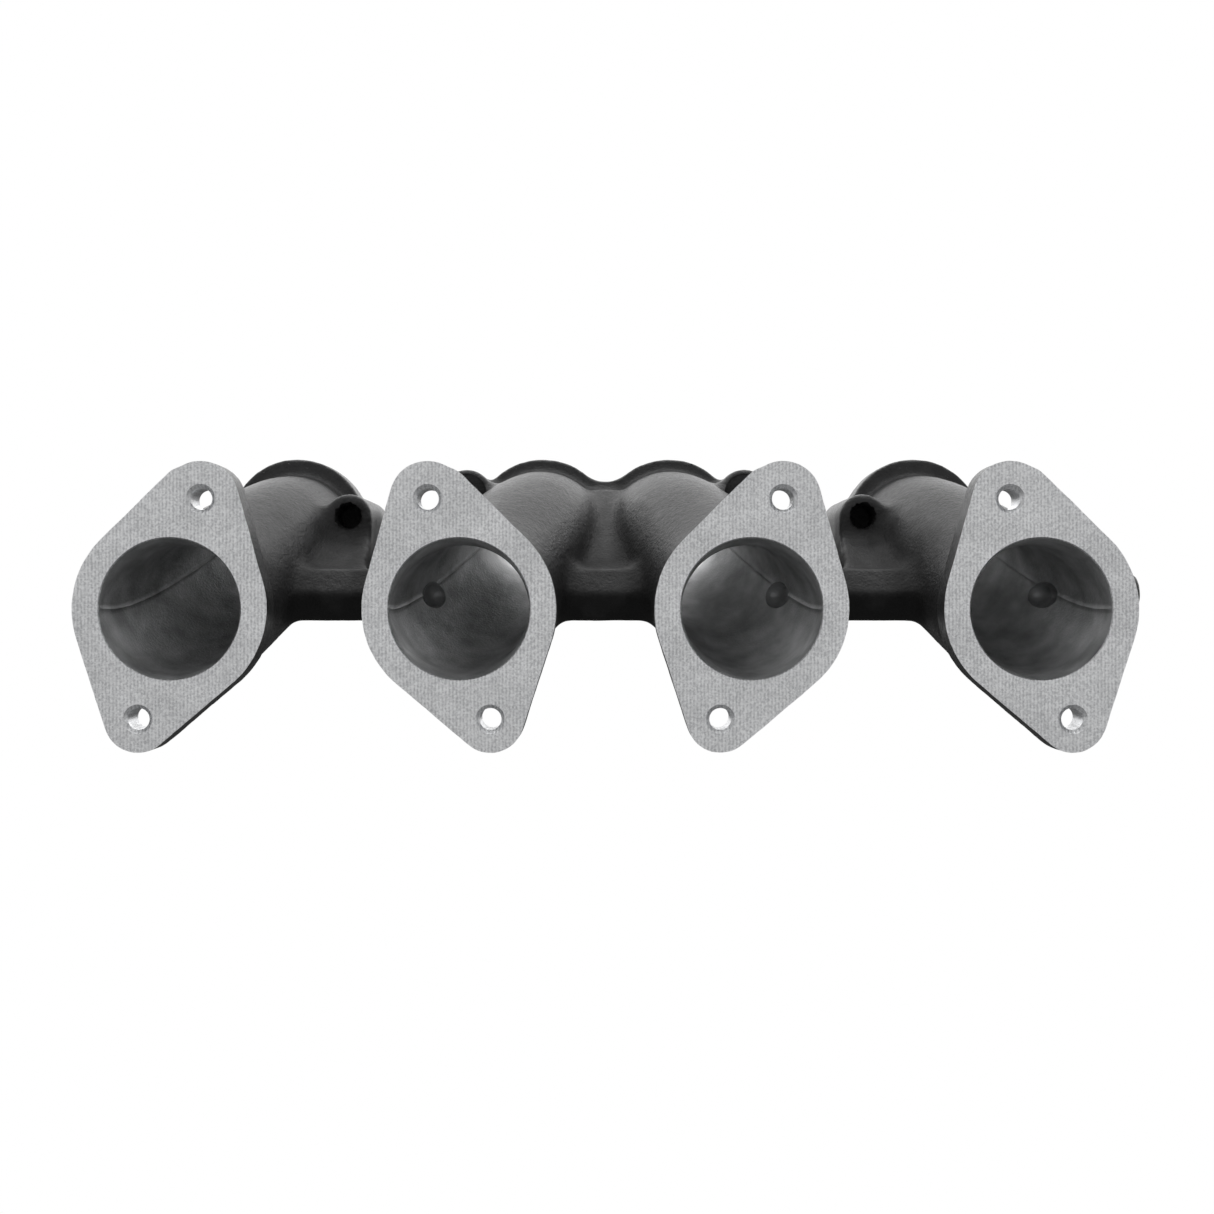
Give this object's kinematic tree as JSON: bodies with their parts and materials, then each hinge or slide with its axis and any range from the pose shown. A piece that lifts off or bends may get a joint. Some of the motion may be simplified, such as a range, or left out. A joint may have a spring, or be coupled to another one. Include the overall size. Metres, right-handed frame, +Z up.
{
  "type": "intake manifold",
  "caption": "Cast intake manifold with separate curved runners from side-draught carburettor flanges to a shared head flange, joined by a drilled vacuum gallery bar.",
  "frame": {"origin": "on the head face, midway between the two inner ports, at the height of the port centres", "axes": "+X along the row of ports, towards the vacuum take-off; +Y square out of the head face, towards the cylinder head; +Z up"},
  "size_m": [0.3458, 0.11, 0.1006],
  "materials": {
    "painted_casting": "satin black paint on sand-cast aluminium, grainy, with darker hollows",
    "milled_face": "bare milled aluminium face with fine cutter lines and a painted cast rim"
  },
  "bodies": {
    "root": {"carb_flange_1": "milled_face", "carb_flange_2": "milled_face", "carb_flange_3": "milled_face", "carb_flange_4": "milled_face", "runner_1": "painted_casting", "runner_2": "painted_casting", "runner_3": "painted_casting", "runner_4": "painted_casting", "port_flange_1": "painted_casting", "port_flange_2": "painted_casting", "port_flange_3": "painted_casting", "port_flange_4": "painted_casting", "flange_bridge_left": "painted_casting", "flange_bridge_right": "painted_casting", "stud_ear_left": "painted_casting", "stud_ear_right": "painted_casting", "stud_boss_left": "painted_casting", "stud_boss_right": "painted_casting", "gallery_bar_left": "painted_casting", "gallery_bar_centre": "painted_casting", "gallery_bar_right": "painted_casting", "centre_rib": "painted_casting", "vacuum_takeoff": "painted_casting"}
  },
  "joints": []
}
